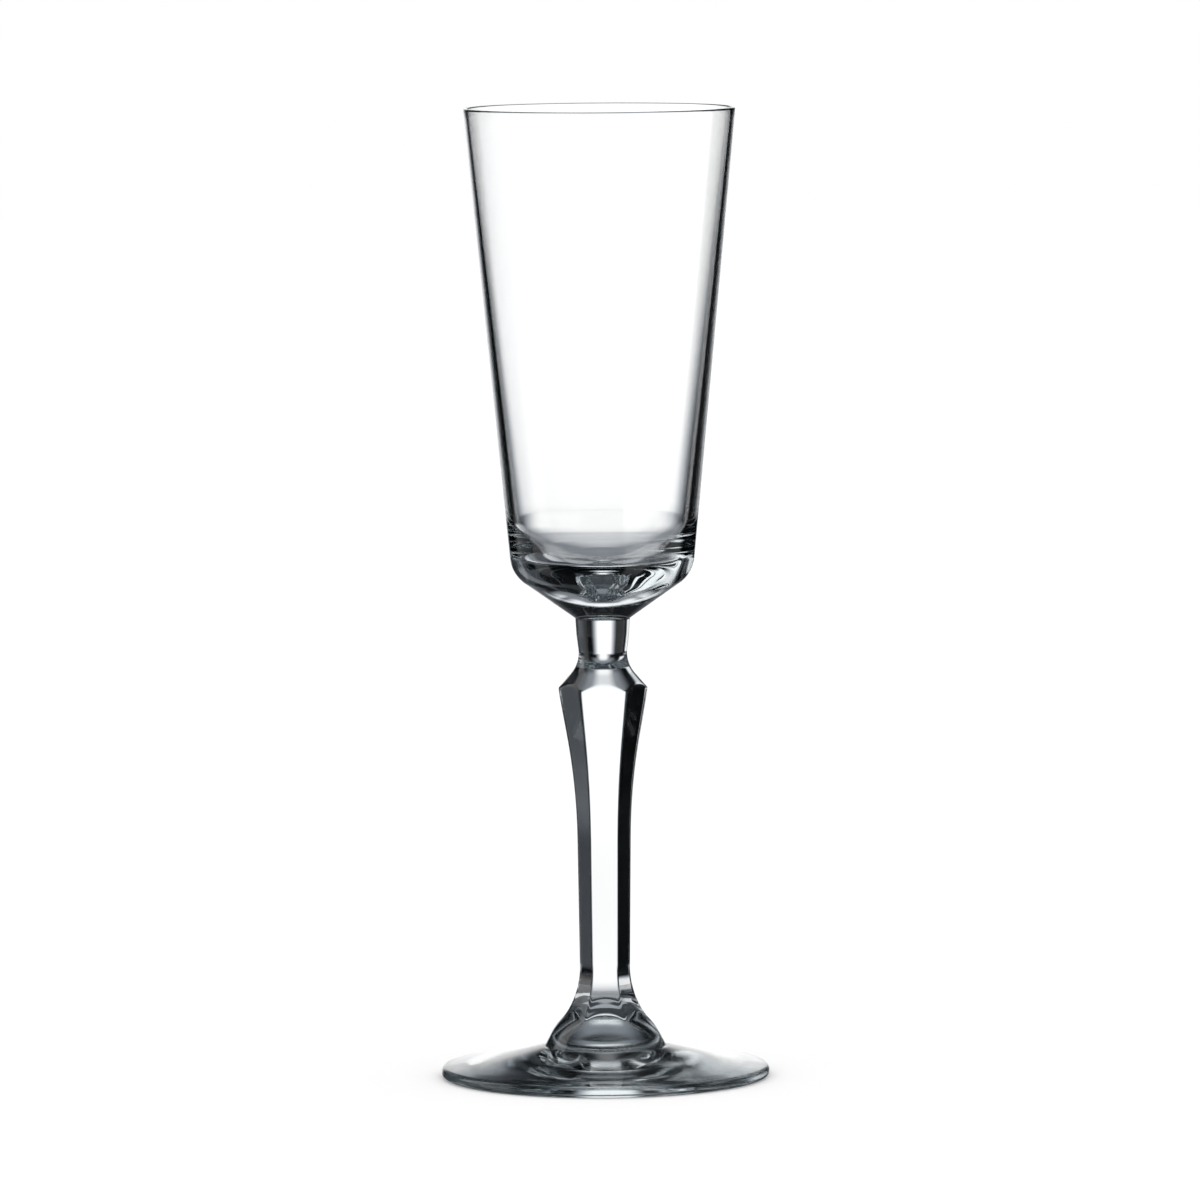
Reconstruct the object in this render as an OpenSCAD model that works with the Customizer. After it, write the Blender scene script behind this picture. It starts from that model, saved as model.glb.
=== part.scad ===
// Champagne flute: a blown bowl, a pressed six-panel stem and a pressed foot, fused together hot.
// Millimetres, +Z up, with the origin in the middle of the ring that the foot rests on.

/* [Bowl] */
// Outside diameter at the rim
rim_d = 60.4; // [52:0.2:72]
// Outside diameter at the heel, where the wall and the underside would meet unrounded
heel_d = 40.4; // [34:0.2:48]
// Height of the straight wall, from the heel to the rim
wall_h = 103.5; // [70:0.5:140]
// Height of the sloping underside, from the stub to the heel
underside_h = 9.9; // [6:0.1:16]
// Height of the stub under the bowl, down to its fused joint
stub_h = 3.9; // [2:0.1:8]
// Diameter at the top of the stub
stub_d = 12.2; // [9:0.1:15]
// Rounding of the outer heel
heel_r = 8; // [3:0.5:10]
// Rounding of the crease between underside and stub
crease_r = 0.4; // [0.3:0.1:2.5]
// Glass thickness at the rim
rim_wall = 0.9; // [0.8:0.1:2]
// Glass thickness of the wall at the bend where its inside turns in towards the floor
bend_wall = 2.2; // [1.6:0.1:3]
// Height of that bend above the heel
bend_lift = 10; // [9:0.2:16]
// Rounding of that bend
bend_r = 16; // [8:1:18]
// How far the floor's edge lies in from the bend
floor_inset = 3.5; // [2:0.1:5]
// Height of the floor's edge above the heel
floor_lift = 3; // [2:0.1:4]
// Rounding of the floor's edge
floor_r = 9; // [4:0.5:10]
// Diameter at which the dished floor grows flatter
dish_d = 14; // [11:0.5:18]
// Drop of the dished floor from its edge to there
dish_drop = 3.5; // [1.5:0.1:4.5]
// Further drop of the dish to its flat middle
middle_drop = 1.4; // [0.4:0.1:2.2]
// Diameter of the flat middle of the dish
middle_d = 4; // [3:0.5:8]
// Roundings within the dish
dish_r = 9; // [3:0.5:10]
// Fire-polished rounding of the rim's edges
rim_edge_r = 0.6; // [0.2:0.05:0.9]

/* [Stem] */
// Diameter of the fused joint between stem and bowl
joint_d = 11.7; // [9:0.1:14]
// Diameter the neck would taper to at the foot of its flare
neck_d = 10.1; // [8:0.1:13]
// Length of the neck, from the shoulder's flare to the joint
neck_l = 6; // [4:0.1:14]
// Rounding between neck and shoulder
neck_r = 7; // [3:0.5:9]
// Height of the sloping shoulder
shoulder_l = 5.8; // [3:0.1:9]
// Diameter of the round shoulder at its widest
shoulder_d = 20.2; // [17:0.2:24]
// Rounding of the shoulder's edge
shoulder_r = 0.8; // [0.2:0.1:1.5]
// Width across the flats of the panels at the shoulder
shoulder_flats = 17.6; // [14:0.1:20]
// Length of the swelling upper panels, from the knee to the shoulder
swell_l = 21.9; // [15:0.1:40]
// Width across the flats at the knee, where the swelling starts
knee_flats = 10.7; // [8:0.1:13]
// Rounding of the panels at the knee
knee_r = 160; // [60:5:200]
// Length of the slim shank, from the flare to the knee
shank_l = 45.6; // [30:0.1:80]
// Width across the flats at the slimmest place
waist_flats = 9.7; // [7:0.1:12]
// Height of the flare's bend above the foot
flare_l = 12.4; // [11:0.1:18]
// Angle of the flaring panels from the vertical
flare_angle = 28; // [15:1:40]
// Rounding of the panels at the flare
flare_r = 21; // [8:0.5:22]

/* [Pad] */
// Diameter of the round pad of the stem where it is fused to the foot
pad_d = 27; // [24:0.2:32]
// Diameter of the pad where its side turns into its sloping top
pad_bend_d = 22; // [20:0.2:23.6]
// Height of the pad's side
pad_side_h = 4.8; // [3:0.1:6]
// Height of the pad's sloping top
pad_top_h = 5; // [3.5:0.1:6]
// Diameter the sloping top runs in to, inside the panels
pad_top_d = 11; // [9:0.1:12]
// Rounding between the pad's side and its top
pad_r = 14; // [2:0.5:15]

/* [Foot] */
// Diameter of the foot
foot_d = 73.2; // [60:0.2:90]
// Height of the foot's middle, where the stem stands
foot_h = 7; // [5:0.1:10]
// Thickness of the foot at its edge
edge_h = 2.4; // [1.6:0.1:3.6]
// Rounding of the foot's edge
edge_r = 1.1; // [0.3:0.05:1.5]
// Diameter where the flat brim of the foot bends up to the middle
brim_d = 50; // [40:0.5:56]
// Height of the foot at that bend
brim_h = 4.1; // [3.4:0.1:5]
// Rounding of the bend
brim_r = 60; // [10:5:80]
// Width of the flat ring that the foot rests on
ring_w = 5; // [2:0.1:8]
// Depth of the hollow under the foot
hollow_h = 1.5; // [0.4:0.1:2.5]

/* [Hidden] */
$fn = 128;
panels = 6;
clear_glass = [0.84, 0.90, 0.89, 0.5];
blown_glass = [0.88, 0.93, 0.93, 0.4];
// How far a cutting shape runs past the piece it cuts
over = 1;
// Furthest that a drawn arc may stray from the true one
arc_error = 0.005;

// Heights above the surface that the glass stands on
pad_bend_z = foot_h + pad_side_h;
pad_top_z = pad_bend_z + pad_top_h;
flare_z = foot_h + flare_l;
knee_z = flare_z + shank_l;
shoulder_z = knee_z + swell_l;
neck_z = shoulder_z + shoulder_l;
joint_z = neck_z + neck_l;
crease_z = joint_z + stub_h;
heel_z = crease_z + underside_h;
bend_z = heel_z + bend_lift;
floor_z = heel_z + floor_lift;
dish_z = floor_z - dish_drop;
middle_z = dish_z - middle_drop;
rim_z = heel_z + wall_h;

// The panels start halfway up the pad's side, inside the pad
panel_z = foot_h + pad_side_h / 2;
// Outside radius of the bowl's wall at the level of the inner bend, and its inside radius there
bend_outer = heel_d / 2 + (rim_d - heel_d) / 2 * bend_lift / wall_h;
bend_inner = bend_outer - bend_wall;
rim_edge = min(rim_edge_r, rim_wall * 0.46);
foot_edge = min(edge_r, edge_h * 0.48);
// The hollow is a cap of this sphere, which meets the resting ring's inner edge
hollow_edge = foot_d / 2 - foot_edge - ring_w;
hollow_r = (hollow_edge * hollow_edge + hollow_h * hollow_h) / (2 * hollow_h);

function unit(v) = v / norm(v);
function spot(corner) = [corner[0], corner[1]];

// Points along an arc, as many as keep it within arc_error of the true curve
function arc(centre, r, from, to) =
    let (steps = max(2, ceil(abs(to - from) / (2 * acos(1 - arc_error / r)))))
    [for (i = [0 : steps])
        let (angle = from + (to - from) * i / steps)
        centre + r * [cos(angle), sin(angle)]];

// The arc that rounds corner b between its neighbours a and c, or the bare corner
function rounding(a, b, c) =
    let (r = b[2])
    let (to_a = unit(spot(a) - spot(b)))
    let (to_c = unit(spot(c) - spot(b)))
    let (half = acos(to_a * to_c) / 2)
    let (centre = spot(b) + unit(to_a + to_c) * r / sin(half))
    let (start = spot(b) + to_a * r / tan(half) - centre)
    let (from = atan2(start[1], start[0]))
    let (turn = sign(cross(to_c, to_a)) * (180 - 2 * half))
    r == 0 ? [spot(b)] : arc(centre, r, from, from + turn);

// The points of an outline given as corners [x, y, rounding], listed counter-clockwise
function outline(corners) =
    let (n = len(corners))
    [for (i = [0 : n - 1])
        each rounding(corners[(i + n - 1) % n], corners[i], corners[(i + 1) % n])];

module bowl() {
    color(blown_glass)
        rotate_extrude()
            polygon(outline([
                [0, joint_z, 0],
                [joint_d / 2, joint_z, 0],
                [stub_d / 2, crease_z, crease_r],
                [heel_d / 2, heel_z, heel_r],
                [rim_d / 2, rim_z, rim_edge],
                [rim_d / 2 - rim_wall, rim_z, rim_edge],
                [bend_inner, bend_z, bend_r],
                [bend_inner - floor_inset, floor_z, floor_r],
                [dish_d / 2, dish_z, dish_r],
                [middle_d / 2, middle_z, dish_r],
                [0, middle_z, 0]
            ]));
}

// Neck and shoulder, round, with a plain drum below for the panels to cut
module neck_and_drum() {
    rotate_extrude()
        polygon(outline([
            [0, panel_z, 0],
            [shoulder_d / 2, panel_z, 0],
            [shoulder_d / 2, shoulder_z, shoulder_r],
            [neck_d / 2, neck_z, neck_r],
            [joint_d / 2, joint_z, 0],
            [0, joint_z, 0]
        ]));
}

// One pair of opposite panels, as a slab with waisted sides
module panel_pair() {
    end_z = joint_z + over;
    start_z = panel_z - over;
    swell = (shoulder_flats - knee_flats) / 2 / swell_l;
    side = [
        [waist_flats / 2 + (flare_z - start_z) * tan(flare_angle), start_z, 0],
        [waist_flats / 2, flare_z, flare_r],
        [knee_flats / 2, knee_z, knee_r],
        [knee_flats / 2 + swell * (end_z - knee_z), end_z, 0]
    ];
    other_side = [for (i = [len(side) - 1 : -1 : 0]) [-side[i][0], side[i][1], side[i][2]]];
    rotate([90, 0, 0])
        linear_extrude(2 * shoulder_d, center = true)
            polygon(outline(concat(side, other_side)));
}

// Round pad under the panels, fused to the foot
module pad() {
    rotate_extrude()
        polygon(outline([
            [0, foot_h, 0],
            [pad_d / 2, foot_h, 0],
            [pad_bend_d / 2, pad_bend_z, pad_r],
            [pad_top_d / 2, pad_top_z, 0],
            [0, pad_top_z, 0]
        ]));
}

module stem() {
    color(clear_glass)
        union() {
            intersection() {
                neck_and_drum();
                intersection_for (i = [0 : panels / 2 - 1])
                    rotate([0, 0, (i + 0.5) * 360 / panels]) panel_pair();
            }
            pad();
        }
}

module foot() {
    hollow = arc([0, hollow_h - hollow_r], hollow_r, 90, 90 - asin(hollow_edge / hollow_r));
    color(clear_glass)
        rotate_extrude()
            polygon(outline(concat(
                [for (p = hollow) [p[0], p[1], 0]],
                [
                    [foot_d / 2, 0, foot_edge],
                    [foot_d / 2, edge_h, foot_edge],
                    [brim_d / 2, brim_h, brim_r],
                    [pad_d / 2, foot_h, 0],
                    [0, foot_h, 0]
                ]
            )));
}

bowl();
stem();
foot();
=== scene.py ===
"""Champagne flute in clear glass: a blown bowl, a pressed six-panel stem and a pressed foot."""
import math

import bpy
import numpy as np
from mathutils import Matrix, Quaternion, Vector


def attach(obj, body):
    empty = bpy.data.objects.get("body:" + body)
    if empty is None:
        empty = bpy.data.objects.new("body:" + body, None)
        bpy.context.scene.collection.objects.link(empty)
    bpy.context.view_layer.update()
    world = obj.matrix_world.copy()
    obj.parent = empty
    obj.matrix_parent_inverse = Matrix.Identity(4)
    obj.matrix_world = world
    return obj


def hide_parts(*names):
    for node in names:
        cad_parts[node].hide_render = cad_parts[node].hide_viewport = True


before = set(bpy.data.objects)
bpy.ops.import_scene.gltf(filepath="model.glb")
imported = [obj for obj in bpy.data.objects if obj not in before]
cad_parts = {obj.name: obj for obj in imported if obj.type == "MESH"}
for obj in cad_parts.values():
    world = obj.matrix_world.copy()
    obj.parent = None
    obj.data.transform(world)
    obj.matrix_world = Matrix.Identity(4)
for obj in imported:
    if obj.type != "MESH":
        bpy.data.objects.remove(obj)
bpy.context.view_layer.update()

MM = 0.001

# Sizes of the solids, in millimetres from the ground, up the axis of the glass
RIM_R, RIM_Z, RIM_WALL, RIM_EDGE = 30.2, 216.0, 0.9, 0.414
HEEL_R, HEEL_Z, HEEL_ROUND = 20.2, 112.5, 8.0
BEND_R, BEND_Z, BEND_ROUND = 18.966, 122.5, 16.0
FLOOR_R, FLOOR_Z, FLOOR_ROUND = 15.466, 115.5, 9.0
DISH_R, DISH_Z, DISH_ROUND = 7.0, 112.0, 9.0
MIDDLE_R, MIDDLE_Z = 2.0, 110.6
CREASE_R, CREASE_Z, CREASE_ROUND = 6.1, 102.6, 0.4
JOINT_R, JOINT_Z = 5.85, 98.7
NECK_R, NECK_Z, NECK_ROUND = 5.05, 92.7, 7.0
SHOULDER_R, SHOULDER_Z, SHOULDER_ROUND = 10.1, 86.9, 0.8
KNEE_FLAT, KNEE_Z, KNEE_ROUND = 5.35, 65.0, 160.0
SWELL_FLAT = 8.8
WAIST_FLAT, FLARE_Z, FLARE_ROUND = 4.85, 19.4, 21.0
FLARE_SLOPE = math.tan(math.radians(28))
PAD_R, PAD_BEND_R, PAD_BEND_Z, PAD_ROUND = 13.5, 11.0, 11.8, 14.0
PAD_TOP_R, PAD_TOP_Z = 5.5, 16.8
FOOT_R, FOOT_Z, EDGE_Z, EDGE_ROUND = 36.6, 7.0, 2.4, 1.1
BRIM_R, BRIM_Z, BRIM_ROUND = 25.0, 4.1, 60.0
RING_R, HOLLOW_Z = 30.5, 1.5

# Points round a turned piece, a multiple of the six panels
ROUND = 192
PANELS = 6
# How crisp the stem's edges are: between panels, between panels and shoulder, and where panels meet the pad
PANEL_CRISP, SHOULDER_CRISP, PAD_CRISP = 44, 60, 40
# Each piece stops this far short of the joint plane, so that the joint faces never coincide
JOINT_GAP = 0.002
# Radius of the last ring of a turned piece, which a fan of faces closes at the axis
AXIS_R = 0.3


def linear(code):
    """An sRGB hex colour as linear red, green, blue and alpha."""
    parts = [int(code[i:i + 2], 16) / 255 for i in (1, 3, 5)]
    return [c / 12.92 if c <= 0.04045 else ((c + 0.055) / 1.055) ** 2.4 for c in parts] + [1.0]


def add(tree, kind, settings=None, inputs=None):
    """A new node with its settings, each input filled by a value or by another node's output."""
    made = tree.nodes.new(kind)
    for key, value in (settings or {}).items():
        setattr(made, key, value)
    for key, value in (inputs or {}).items():
        if isinstance(value, bpy.types.NodeSocket):
            tree.links.new(value, made.inputs[key])
        else:
            made.inputs[key].default_value = value
    return made


def rounded(corners, turn=3.0, run=2.0):
    """Points along a line of corners (radius, height, rounding), with arcs of small turns and short runs."""
    spots = [np.array(c[:2], float) for c in corners]
    line = [spots[0]]
    for before, corner, after, r in zip(spots, spots[1:], spots[2:], [c[2] for c in corners[1:]]):
        if r == 0:
            line.append(corner)
            continue
        to_before = (before - corner) / np.linalg.norm(before - corner)
        to_after = (after - corner) / np.linalg.norm(after - corner)
        half = math.acos(to_before @ to_after) / 2
        inward = (to_before + to_after) / np.linalg.norm(to_before + to_after)
        centre = corner + inward * r / math.sin(half)
        start = corner + to_before * r / math.tan(half) - centre
        side = math.copysign(1, to_after[0] * to_before[1] - to_after[1] * to_before[0])
        sweep = side * (math.pi - 2 * half)
        steps = max(4, math.ceil(abs(math.degrees(sweep)) / turn))
        for i in range(steps + 1):
            a = sweep * i / steps
            spin = np.array([[math.cos(a), -math.sin(a)], [math.sin(a), math.cos(a)]])
            line.append(centre + spin @ start)
    line.append(spots[-1])
    points = [line[0]]
    for a, b in zip(line, line[1:]):
        pieces = max(1, math.ceil(np.linalg.norm(b - a) / run))
        points += [a + (b - a) * i / pieces for i in range(1, pieces + 1)]
    return np.array(points)


def closed_piece(name, rings, glass, joints):
    """A closed mesh through rings of points, with a fan at each end, melted at the heights in joints."""
    count = len(rings)
    spots = [tuple(p) for ring in rings for p in ring]
    faces = []
    for i in range(count - 1):
        for k in range(ROUND):
            n = (k + 1) % ROUND
            faces.append((i * ROUND + k, i * ROUND + n, (i + 1) * ROUND + n, (i + 1) * ROUND + k))
    for ring, up in ((0, False), (count - 1, True)):
        middle = len(spots)
        spots.append(tuple(np.mean(rings[ring], axis=0)))
        for k in range(ROUND):
            a, b = ring * ROUND + k, ring * ROUND + (k + 1) % ROUND
            faces.append((a, b, middle) if up else (b, a, middle))
    melted = []
    for face in faces:
        level = [all(abs(spots[p][2] - z) < JOINT_GAP / 2 for p in face) for z in joints]
        melted.append(float(any(level)))
    mesh = bpy.data.meshes.new(name)
    mesh.from_pydata(spots, [], faces)
    mesh.transform(Matrix.Scale(MM, 4))
    mesh.materials.append(glass)
    mesh.attributes.new("melted", "FLOAT", "FACE").data.foreach_set("value", melted)
    mesh.polygons.foreach_set("use_smooth", np.ones(len(faces), bool))
    mesh.set_sharp_from_angle(angle=math.radians(40))
    mesh.validate()
    piece = bpy.data.objects.new(name, mesh)
    bpy.context.scene.collection.objects.link(piece)
    return piece


def turned_rings(line):
    """A turned form: each point of the line swept round the axis."""
    around = np.arange(ROUND) * 2 * math.pi / ROUND
    return [np.column_stack([r * np.cos(around), r * np.sin(around), np.full(ROUND, z)]) for r, z in line]


TINT = "#C8D6DA"
# How strongly thick glass takes the tint, per metre
TINT_DENSITY = 14.0
# Size of the patches in which the polish varies
POLISH_MM = 18


def soda_lime_glass(name, ripple_mm, ripple_depth_mm, dullest):
    """Clear soda-lime glass: sharp see-through, a faint cool tint where it is thick, and a fire-polished
    skin whose low ripples bend what is seen through it a little. Pressed glass keeps patches with a trace
    of the mould's skin, which soften what is seen through them. Nothing shows at a melted joint, because
    the glass runs on through it."""
    material = bpy.data.materials.new(name)
    material.use_nodes = True
    tree = material.node_tree
    tree.nodes.clear()
    place = add(tree, "ShaderNodeTexCoord")
    ripple = add(tree, "ShaderNodeTexNoise", {}, {
        "Vector": place.outputs["Object"], "Scale": 1 / (ripple_mm * MM), "Detail": 1.0})
    patches = add(tree, "ShaderNodeTexNoise", {}, {
        "Vector": place.outputs["Object"], "Scale": 1 / (POLISH_MM * MM), "Detail": 3.0})
    polish = add(tree, "ShaderNodeMapRange", {}, {
        "Value": patches.outputs["Fac"], "From Min": 0.3, "From Max": 0.7, "To Min": 0.0, "To Max": dullest})
    skin = add(tree, "ShaderNodeBump", {}, {
        "Strength": 1.0, "Distance": ripple_depth_mm * MM, "Height": ripple.outputs["Fac"]})
    joint = add(tree, "ShaderNodeAttribute", {"attribute_name": "melted"})
    skinned = add(tree, "ShaderNodeMath", {"operation": "SUBTRACT"}, {0: 1.0, 1: joint.outputs["Fac"]})
    body = add(tree, "ShaderNodeBsdfPrincipled", {}, {
        "Base Color": linear("#FFFFFF"), "IOR": 1.52, "Transmission Weight": 1.0,
        "Roughness": polish.outputs["Result"], "Normal": skin.outputs["Normal"], "Alpha": skinned.outputs[0]})
    depth = add(tree, "ShaderNodeVolumeAbsorption", {}, {"Color": linear(TINT), "Density": TINT_DENSITY})
    add(tree, "ShaderNodeOutputMaterial", {}, {
        "Surface": body.outputs["BSDF"], "Volume": depth.outputs["Volume"]})
    return material


BLOWN_GLASS = soda_lime_glass("soda_lime_glass_blown", ripple_mm=9, ripple_depth_mm=0.004, dullest=0.02)
PRESSED_GLASS = soda_lime_glass("soda_lime_glass_pressed", ripple_mm=6, ripple_depth_mm=0.006, dullest=0.12)


def bowl_rings():
    """Tall tapered bowl with a rounded rim, a thick base and the stub that is fused to the stem."""
    line = rounded([
        (AXIS_R, JOINT_Z + JOINT_GAP, 0),
        (JOINT_R, JOINT_Z + JOINT_GAP, 0),
        (CREASE_R, CREASE_Z, CREASE_ROUND),
        (HEEL_R, HEEL_Z, HEEL_ROUND),
        (RIM_R, RIM_Z, RIM_EDGE),
        (RIM_R - RIM_WALL, RIM_Z, RIM_EDGE),
        (BEND_R, BEND_Z, BEND_ROUND),
        (FLOOR_R, FLOOR_Z, FLOOR_ROUND),
        (DISH_R, DISH_Z, DISH_ROUND),
        (MIDDLE_R, MIDDLE_Z, DISH_ROUND),
        (AXIS_R, MIDDLE_Z, 0)])
    return turned_rings(line)


def soft_least(a, b, crisp):
    """The smaller of two radii, with the edge between them a little rounded."""
    return (a ** -crisp + b ** -crisp) ** (-1 / crisp)


def soft_most(a, b, crisp):
    """The larger of two radii, with the corner between them a little filled."""
    return (a ** crisp + b ** crisp) ** (1 / crisp)


def stem_rings():
    """Round neck and shoulder cut by six waisted panels, which run out in scallops on the round pad."""
    swell = (SWELL_FLAT - KNEE_FLAT) / (SHOULDER_Z - KNEE_Z)
    panel = rounded([
        (WAIST_FLAT + (FLARE_Z - FOOT_Z) * FLARE_SLOPE, FOOT_Z, 0),
        (WAIST_FLAT, FLARE_Z, FLARE_ROUND),
        (KNEE_FLAT, KNEE_Z, KNEE_ROUND),
        (KNEE_FLAT + swell * (JOINT_Z - KNEE_Z), JOINT_Z, 0)], turn=0.5)
    drum = rounded([
        (SHOULDER_R, FOOT_Z, 0),
        (SHOULDER_R, SHOULDER_Z, SHOULDER_ROUND),
        (NECK_R, NECK_Z, NECK_ROUND),
        (JOINT_R, JOINT_Z, 0)], turn=1.0)
    pad = rounded([
        (PAD_R, FOOT_Z, 0),
        (PAD_BEND_R, PAD_BEND_Z, PAD_ROUND),
        (PAD_TOP_R, PAD_TOP_Z, 0)], turn=1.0)
    # The pad runs on to a point inside the panels, so that its end never shows
    pad_point_r, pad_point_z = 0.5, PAD_TOP_Z + 6
    pad = np.vstack([pad, (pad_point_r, pad_point_z)])
    # Rings lie closest on the pad, at the flare, and from the top of the panels to the joint
    pad_end, flare_end, shank_end = 18, 26, 82
    heights = np.concatenate([
        np.linspace(FOOT_Z + JOINT_GAP, pad_end, 56),
        np.linspace(pad_end, flare_end, 22)[1:],
        np.linspace(flare_end, shank_end, 57)[1:],
        np.linspace(shank_end, JOINT_Z - JOINT_GAP, 85)[1:]])
    around = np.arange(ROUND) * 2 * math.pi / ROUND
    faced = [(i + 0.5) * 2 * math.pi / PANELS for i in range(PANELS)]
    facing = np.array([
        sum(max(0.0, math.cos(a - f)) ** PANEL_CRISP for f in faced) ** (1 / PANEL_CRISP) for a in around])
    rings = []
    for z in heights:
        flat = np.interp(z, panel[:, 1], panel[:, 0])
        round_r = np.full(ROUND, np.interp(z, drum[:, 1], drum[:, 0]))
        radius = soft_least(flat / facing, round_r, SHOULDER_CRISP)
        if z < pad_point_z:
            pad_r = np.full(ROUND, np.interp(z, pad[:, 1], pad[:, 0]))
            radius = soft_most(radius, pad_r, PAD_CRISP)
        rings.append(np.column_stack([radius * np.cos(around), radius * np.sin(around), np.full(ROUND, z)]))
    return rings


def foot_rings():
    """Low round foot with a rounded edge, a shallow hollow below and the flat ring that it rests on."""
    sphere = (RING_R ** 2 + HOLLOW_Z ** 2) / (2 * HOLLOW_Z)
    reach = math.asin(RING_R / sphere)
    # The hollow starts just off the axis, where a fan of faces closes it
    hollow = [(sphere * math.sin(a), HOLLOW_Z - sphere + sphere * math.cos(a), 0)
              for a in np.linspace(0.01 * reach, reach, 24)]
    line = rounded(hollow + [
        (FOOT_R, 0, EDGE_ROUND),
        (FOOT_R, EDGE_Z, EDGE_ROUND),
        (BRIM_R, BRIM_Z, BRIM_ROUND),
        (PAD_R, FOOT_Z - JOINT_GAP, 0),
        (AXIS_R, FOOT_Z - JOINT_GAP, 0)], turn=3.0, run=1.2)
    return turned_rings(line)


bowl = closed_piece("glass_bowl", bowl_rings(), BLOWN_GLASS, [JOINT_Z + JOINT_GAP])
stem = closed_piece("glass_stem", stem_rings(), PRESSED_GLASS, [FOOT_Z + JOINT_GAP, JOINT_Z - JOINT_GAP])
foot = closed_piece("glass_foot", foot_rings(), PRESSED_GLASS, [FOOT_Z - JOINT_GAP])
for piece, node, slot in (
        (bowl, "bowl", "blown_glass"), (stem, "stem", "pressed_glass"), (foot, "foot", "pressed_glass")):
    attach(piece, "root")
    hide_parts(node)

# The studio that the glass shows: white screens and a pale table in a dark room
# Each has the middle and half width of its azimuth, from +Y towards +X, its lowest and highest elevation,
# its strength, and how soft its sides, lower edge and upper edge are, all angles in degrees
SCREENS = {
    "wall behind the glass": (-2.2, 14, -8, 15.5, 1.22, 7, 3, 7),
    "table behind the glass": (-0.8, 8.5, -28, -4, 1.15, 6, 12, 3),
    "table near the glass": (-0.6, 17, -54, -18, 0.36, 8, 10, 4),
    "softbox on the left": (-71, 15, -2, 54, 1.42, 6, 4, 6),
    "low light on the left": (-108, 58, -12.5, -8, 0.78, 6, 6, 2),
    "low light on the right": (103, 36, -22, -8, 0.75, 6, 5, 2),
    "dim side of the room on the right": (66, 30, -7, 25, 0.09, 6, 4, 5),
    "ground all round": (0, 180, -98, -34, 0.085, 1, 3, 12),
    "ground under the glass": (0, 70, -98, -60, 0.5, 8, 2, 4),
    "ceiling over the glass": (0, 40, 60, 95, 0.8, 8, 5, 2),
    "white screen at the side": (-95, 15, -10, 16, 1.0, 4, 3, 4),
    "table in front of that screen": (-95, 12, -42, -8, 0.85, 4, 16, 2),
    "white screen at the front right": (135, 18, -24, -6, 1.0, 4, 3, 3),
    "table in front of that one": (135, 14, -52, -20, 0.85, 4, 16, 3),
    "lit ground on the far left": (-45, 10, -32, -18, 1.0, 4, 3, 3),
    "lit ground nearer the glass": (-45, 9, -60, -28, 0.85, 4, 16, 3),
}
# Strength of the dark room, and of the plain dome that lights the floor
ROOM = 0.004
DOME = 1.13
# Where the room is dim its light is a little blue
DIM_LIGHT = "#D2DEEC"


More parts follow.
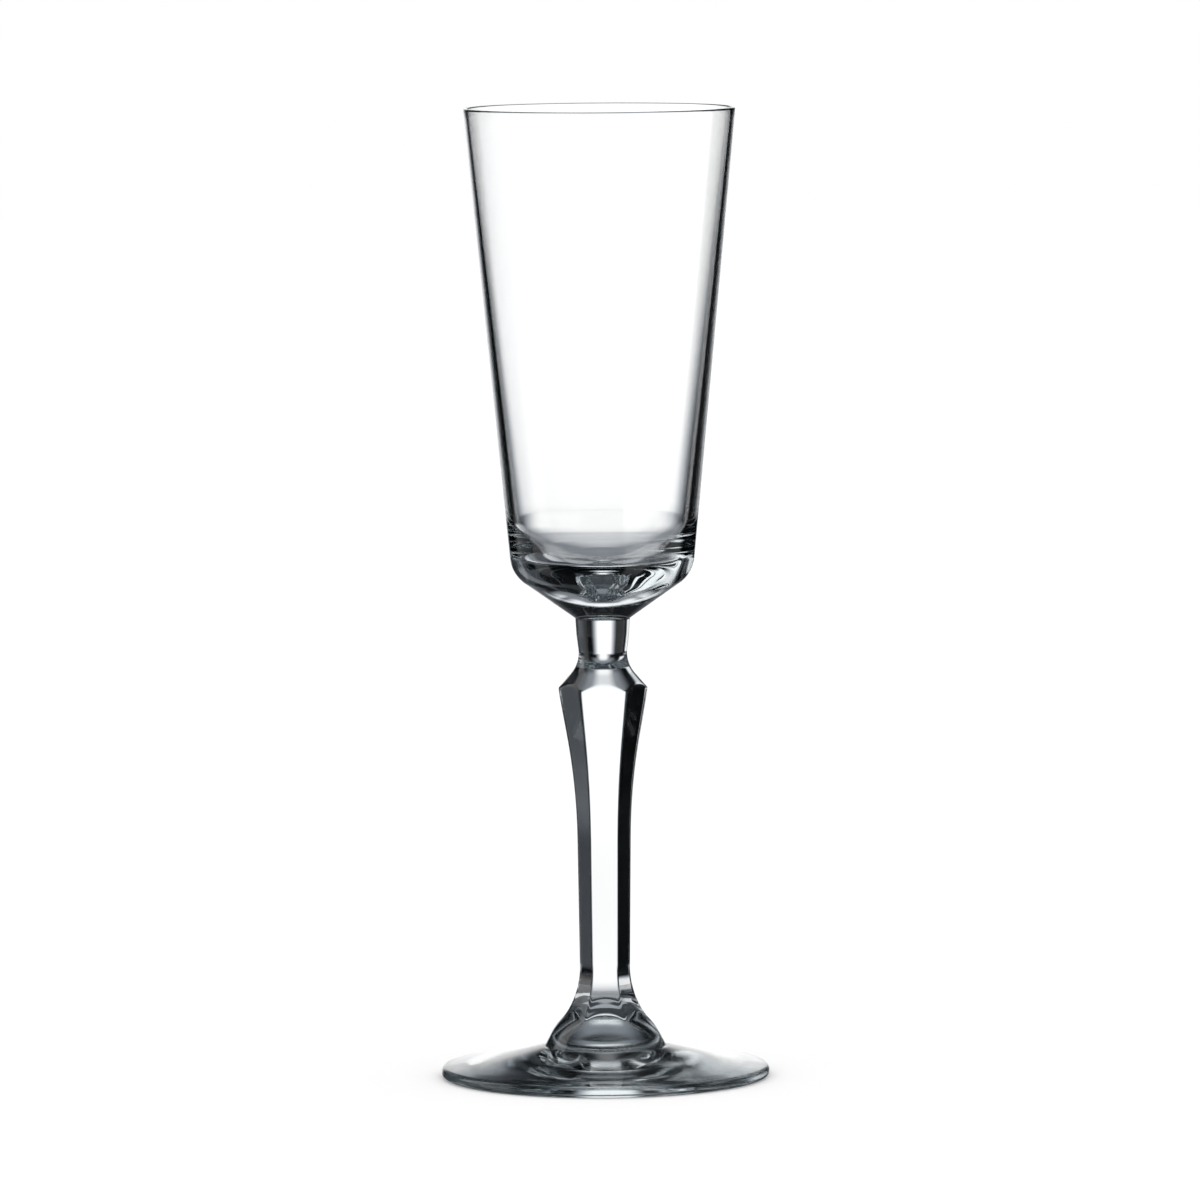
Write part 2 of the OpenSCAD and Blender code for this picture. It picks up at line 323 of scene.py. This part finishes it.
def white_studio():
    """White to the camera, a plain white dome to the floor, and dark with white screens to the glass."""
    world = bpy.data.worlds.new("white_studio")
    bpy.context.scene.world = world
    world.use_nodes = True
    tree = world.node_tree
    tree.nodes.clear()
    ray = add(tree, "ShaderNodeLightPath").outputs
    place = add(tree, "ShaderNodeTexCoord")
    way = add(tree, "ShaderNodeSeparateXYZ", {}, {0: place.outputs["Generated"]}).outputs
    azimuth = add(tree, "ShaderNodeMath", {"operation": "ARCTAN2"}, {0: way["X"], 1: way["Y"]}).outputs[0]
    height = add(tree, "ShaderNodeMath", {"operation": "ARCSINE"}, {0: way["Z"]}).outputs[0]
    seen = ROOM
    for middle, half, low, high, strength, soft_side, soft_low, soft_high in SCREENS.values():
        turned = add(tree, "ShaderNodeMath", {"operation": "SUBTRACT"}, {0: azimuth, 1: math.radians(middle)})
        wrapped = add(tree, "ShaderNodeMath", {"operation": "WRAP"}, {
            0: turned.outputs[0], 1: math.pi, 2: -math.pi})
        aside = add(tree, "ShaderNodeMath", {"operation": "ABSOLUTE"}, {0: wrapped.outputs[0]})
        across = add(tree, "ShaderNodeMapRange", {"interpolation_type": "SMOOTHSTEP"}, {
            "Value": aside.outputs[0], "From Min": math.radians(half - soft_side),
            "From Max": math.radians(half + soft_side), "To Min": strength, "To Max": 0.0})
        above = add(tree, "ShaderNodeMapRange", {"interpolation_type": "SMOOTHSTEP"}, {
            "Value": height, "From Min": math.radians(low - soft_low),
            "From Max": math.radians(low + soft_low), "To Min": 0.0, "To Max": 1.0})
        below = add(tree, "ShaderNodeMapRange", {"interpolation_type": "SMOOTHSTEP"}, {
            "Value": height, "From Min": math.radians(high - soft_high),
            "From Max": math.radians(high + soft_high), "To Min": 1.0, "To Max": 0.0})
        band = add(tree, "ShaderNodeMath", {"operation": "MULTIPLY"}, {
            0: above.outputs["Result"], 1: below.outputs["Result"]})
        lit = add(tree, "ShaderNodeMath", {"operation": "MULTIPLY"}, {
            0: across.outputs["Result"], 1: band.outputs[0]})
        seen = add(tree, "ShaderNodeMath", {"operation": "MAXIMUM"}, {0: seen, 1: lit.outputs[0]}).outputs[0]
    through = add(tree, "ShaderNodeMath", {"operation": "MAXIMUM"}, {
        0: ray["Is Glossy Ray"], 1: ray["Is Transmission Ray"]})
    light = add(tree, "ShaderNodeMix", {}, {0: through.outputs[0], 2: DOME, 3: seen})
    shown = add(tree, "ShaderNodeMix", {}, {0: ray["Is Camera Ray"], 2: light.outputs[0], 3: 1.0})
    hue = add(tree, "ShaderNodeMix", {"data_type": "RGBA"}, {
        0: shown.outputs[0], 6: linear(DIM_LIGHT), 7: linear("#FFFFFF")})
    sky = add(tree, "ShaderNodeBackground", {}, {"Strength": shown.outputs[0], "Color": hue.outputs[2]})
    add(tree, "ShaderNodeOutputWorld", {}, {"Surface": sky.outputs[0]})


def white_floor():
    """Plain matt white paper on the ground, 8 m across, that takes the soft shadow of the glass."""
    half = 4.0
    corners = [(-half, -half, 0), (half, -half, 0), (half, half, 0), (-half, half, 0)]
    mesh = bpy.data.meshes.new("floor")
    mesh.from_pydata(corners, [], [(0, 1, 2, 3)])
    material = bpy.data.materials.new("matt_white_paper")
    material.use_nodes = True
    tree = material.node_tree
    tree.nodes.clear()
    paper = add(tree, "ShaderNodeBsdfDiffuse", {}, {"Color": linear("#F8F8F8")})
    add(tree, "ShaderNodeOutputMaterial", {}, {"Surface": paper.outputs[0]})
    mesh.materials.append(material)
    floor = bpy.data.objects.new("floor", mesh)
    bpy.context.scene.collection.objects.link(floor)
    floor.visible_glossy = False
    floor.visible_transmission = False


# Where the camera stands and what it looks at, in millimetres, and its lean in degrees
CAMERA_AT = (-0.55, -2081, 292)
LOOKS_AT = (-0.55, 0, 106.6)
LEAN = -0.39


def photo_camera():
    """A long lens, a little above the rim and looking slightly down, leaning a trace."""
    data = bpy.data.cameras.new("camera")
    data.sensor_width = 36
    data.lens = 282
    data.clip_end = 50
    camera = bpy.data.objects.new("camera", data)
    bpy.context.scene.collection.objects.link(camera)
    camera.location = Vector(CAMERA_AT) * MM
    aim = Vector(LOOKS_AT) * MM
    camera.rotation_mode = "QUATERNION"
    lean = Quaternion((0, 0, 1), math.radians(LEAN))
    camera.rotation_quaternion = (aim - camera.location).to_track_quat("-Z", "Y") @ lean
    bpy.context.scene.camera = camera


white_studio()
white_floor()
photo_camera()

scene = bpy.context.scene
scene.view_settings.view_transform = "Standard"
# Light turns back many times inside thick glass
BOUNCES = 32
scene.cycles.max_bounces = BOUNCES
scene.cycles.transmission_bounces = BOUNCES
scene.cycles.glossy_bounces = BOUNCES
scene.cycles.transparent_max_bounces = BOUNCES
